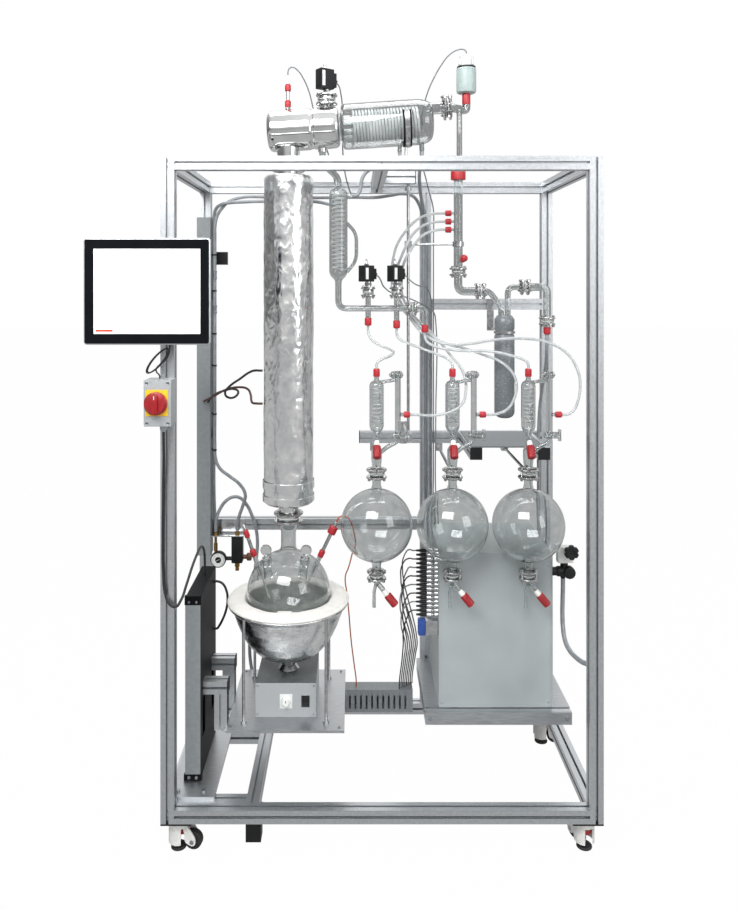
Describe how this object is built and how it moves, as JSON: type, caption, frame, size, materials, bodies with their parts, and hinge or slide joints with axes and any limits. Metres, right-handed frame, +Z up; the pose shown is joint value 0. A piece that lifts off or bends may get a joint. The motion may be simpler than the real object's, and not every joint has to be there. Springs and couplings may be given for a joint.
{
  "type": "batch distillation unit",
  "caption": "Wheeled laboratory distillation unit: slotted aluminium frame with lifted heating mantle, insulated column, glass condenser, receivers with valve knobs, cabinet and touch display.",
  "frame": {"origin": "on the floor under the middle of the frame's four posts", "axes": "+Z up, -Y towards the user's side with the receivers, +X to the cabinet's side"},
  "size_m": [1.5254, 0.7493, 2.4651],
  "materials": {
    "aluminium_profile": "anodised extrusion",
    "black_plastic": "fine grain",
    "zinc_steel": "zinc plated",
    "ivory_nylon": "moulded",
    "black_tyre": "worn",
    "black_paint": "powder coat",
    "plate_aluminium": "milled",
    "stainless": "brushed",
    "spun_aluminium": "spun and hammered",
    "glass_cloth": "woven glass cloth",
    "white_plastic": "moulded",
    "clear_glass": "borosilicate",
    "wire_mesh": "woven mesh",
    "foil_insulation": "aluminised",
    "silvered_glass": "silvered",
    "red_plastic": "moulded",
    "grey_green_paint": "satin",
    "grey_sheet": "powder coat",
    "light_grey_sheet": "powder coat",
    "grey_plastic": "moulded",
    "brown_plastic": "moulded",
    "clear_silicone": "translucent",
    "grey_hose": "satin",
    "cable_sheath": "satin",
    "black_glass": "glass front"
  },
  "bodies": {
    "frame": {"frame_posts": "aluminium_profile", "frame_rails": "aluminium_profile", "frame_fittings": "black_plastic", "frame_bolts": "zinc_steel", "lift_column": "black_paint", "lift_base": "plate_aluminium", "boiler_flask": "clear_glass", "temperature_probes": "stainless", "column_tube": "clear_glass", "column_packing": "wire_mesh", "column_jacket": "foil_insulation", "column_head": "silvered_glass", "condenser_jacket": "clear_glass", "glass_coils": "clear_glass", "product_cooler": "clear_glass", "vacuum_line": "clear_glass", "screw_caps": "red_plastic", "joint_clamps": "zinc_steel", "support_rods": "stainless", "solenoid_valves": "black_plastic", "pressure_transmitter": "grey_green_paint", "receiver_coolers": "clear_glass", "receiver_flasks": "clear_glass", "shelf_plates": "grey_sheet", "control_cabinet": "light_grey_sheet", "cable_connectors": "black_plastic", "cable_ducts": "grey_plastic", "display_bracket": "black_paint", "switch_box": "grey_plastic", "pressure_regulator": "black_paint", "water_valve": "black_plastic", "clear_hoses": "clear_silicone", "cooling_hoses": "grey_hose", "cables": "cable_sheath"},
    "caster_fl": {"caster_fork_fl": "ivory_nylon"},
    "wheel_fl": {"caster_wheel_fl": "black_tyre"},
    "caster_fr": {"caster_fork_fr": "ivory_nylon"},
    "wheel_fr": {"caster_wheel_fr": "black_tyre"},
    "caster_rl": {"caster_fork_rl": "ivory_nylon"},
    "wheel_rl": {"caster_wheel_rl": "black_tyre"},
    "caster_rr": {"caster_fork_rr": "ivory_nylon"},
    "wheel_rr": {"caster_wheel_rr": "black_tyre"},
    "mantle_lift": {"lift_carriage": "aluminium_profile", "mantle_platform": "plate_aluminium", "mantle_box": "stainless", "mantle_stand": "stainless", "mantle_bowl": "spun_aluminium", "mantle_rim": "glass_cloth"},
    "mantle_dial": {"mantle_dial": "white_plastic"},
    "mantle_rocker": {"mantle_rocker": "black_plastic"},
    "cutoff_knob_1": {"cutoff_knob_1": "red_plastic"},
    "outlet_knob_1": {"outlet_knob_1": "red_plastic"},
    "cutoff_knob_2": {"cutoff_knob_2": "red_plastic"},
    "outlet_knob_2": {"outlet_knob_2": "red_plastic"},
    "cutoff_knob_3": {"cutoff_knob_3": "red_plastic"},
    "outlet_knob_3": {"outlet_knob_3": "red_plastic"},
    "display": {"touch_display": "black_glass"},
    "main_switch": {"switch_knob": "red_plastic"},
    "regulator_knob": {"regulator_knob": "brown_plastic"},
    "star_knob": {"star_knob": "black_plastic"}
  },
  "joints": [
    {"name": "caster_swivel_fl", "type": "hinge", "parent": "frame", "child": "caster_fl", "pos_m": [-0.605, -0.28, 0.06], "axis": [0, 0, 1], "continuous": true},
    {"name": "wheel_spin_fl", "type": "hinge", "parent": "caster_fl", "child": "wheel_fl", "pos_m": [-0.55871, -0.28816, 0.029], "axis": [0.1736, 0.9848, 0], "continuous": true},
    {"name": "caster_swivel_fr", "type": "hinge", "parent": "frame", "child": "caster_fr", "pos_m": [0.605, -0.28, 0.06], "axis": [0, 0, 1], "continuous": true},
    {"name": "wheel_spin_fr", "type": "hinge", "parent": "caster_fr", "child": "wheel_fr", "pos_m": [0.58893, -0.23583, 0.029], "axis": [-0.9397, -0.342, 0], "continuous": true},
    {"name": "caster_swivel_rl", "type": "hinge", "parent": "frame", "child": "caster_rl", "pos_m": [-0.605, 0.28, 0.06], "axis": [0, 0, 1], "continuous": true},
    {"name": "wheel_spin_rl", "type": "hinge", "parent": "caster_rl", "child": "wheel_rl", "pos_m": [-0.56083, 0.29607, 0.029], "axis": [-0.342, 0.9397, 0], "continuous": true},
    {"name": "caster_swivel_rr", "type": "hinge", "parent": "frame", "child": "caster_rr", "pos_m": [0.605, 0.28, 0.06], "axis": [0, 0, 1], "continuous": true},
    {"name": "wheel_spin_rr", "type": "hinge", "parent": "caster_rr", "child": "wheel_rr", "pos_m": [0.65182, 0.2759, 0.029], "axis": [0.0872, 0.9962, 0], "continuous": true},
    {"name": "mantle_lift_slide", "type": "slide", "parent": "frame", "child": "mantle_lift", "axis": [0, 0, 1], "range_m": [-0.13, 0]},
    {"name": "mantle_dial_turn", "type": "hinge", "parent": "mantle_lift", "child": "mantle_dial", "pos_m": [-0.299, -0.112, 0.347], "axis": [0, 1, 0], "range_deg": [0, 270]},
    {"name": "mantle_rocker_tilt", "type": "hinge", "parent": "mantle_lift", "child": "mantle_rocker", "pos_m": [-0.237, -0.109, 0.347], "axis": [1, 0, 0], "range_deg": [-8, 8]},
    {"name": "cutoff_knob_turn_1", "type": "hinge", "parent": "frame", "child": "cutoff_knob_1", "pos_m": [-0.01, -0.11, 1.204], "axis": [0, -0.6, -0.8], "continuous": true},
    {"name": "outlet_knob_turn_1", "type": "hinge", "parent": "frame", "child": "outlet_knob_1", "pos_m": [-0.01, -0.11, 0.728], "axis": [0.6409, -0.1001, -0.7611], "continuous": true},
    {"name": "cutoff_knob_turn_2", "type": "hinge", "parent": "frame", "child": "cutoff_knob_2", "pos_m": [0.2325, -0.11, 1.204], "axis": [0, -0.6, -0.8], "continuous": true},
    {"name": "outlet_knob_turn_2", "type": "hinge", "parent": "frame", "child": "outlet_knob_2", "pos_m": [0.2325, -0.11, 0.728], "axis": [0.6409, -0.1001, -0.7611], "continuous": true},
    {"name": "cutoff_knob_turn_3", "type": "hinge", "parent": "frame", "child": "cutoff_knob_3", "pos_m": [0.475, -0.11, 1.204], "axis": [0, -0.6, -0.8], "continuous": true},
    {"name": "outlet_knob_turn_3", "type": "hinge", "parent": "frame", "child": "outlet_knob_3", "pos_m": [0.475, -0.11, 0.728], "axis": [0.6409, -0.1001, -0.7611], "continuous": true},
    {"name": "display_tilt", "type": "hinge", "parent": "frame", "child": "display", "pos_m": [-0.63, -0.35, 1.658], "axis": [1, 0, 0], "range_deg": [-12, 12]},
    {"name": "main_switch_turn", "type": "hinge", "parent": "frame", "child": "main_switch", "pos_m": [-0.645, -0.396, 1.339], "axis": [0, 1, 0], "range_deg": [0, 90]},
    {"name": "regulator_knob_turn", "type": "hinge", "parent": "frame", "child": "regulator_knob", "pos_m": [-0.47, 0.249, 0.688], "axis": [1, 0, 0], "continuous": true},
    {"name": "star_knob_turn", "type": "hinge", "parent": "frame", "child": "star_knob", "pos_m": [0.639, 0.004, 0.789], "axis": [0, 1, 0], "continuous": true}
  ]
}
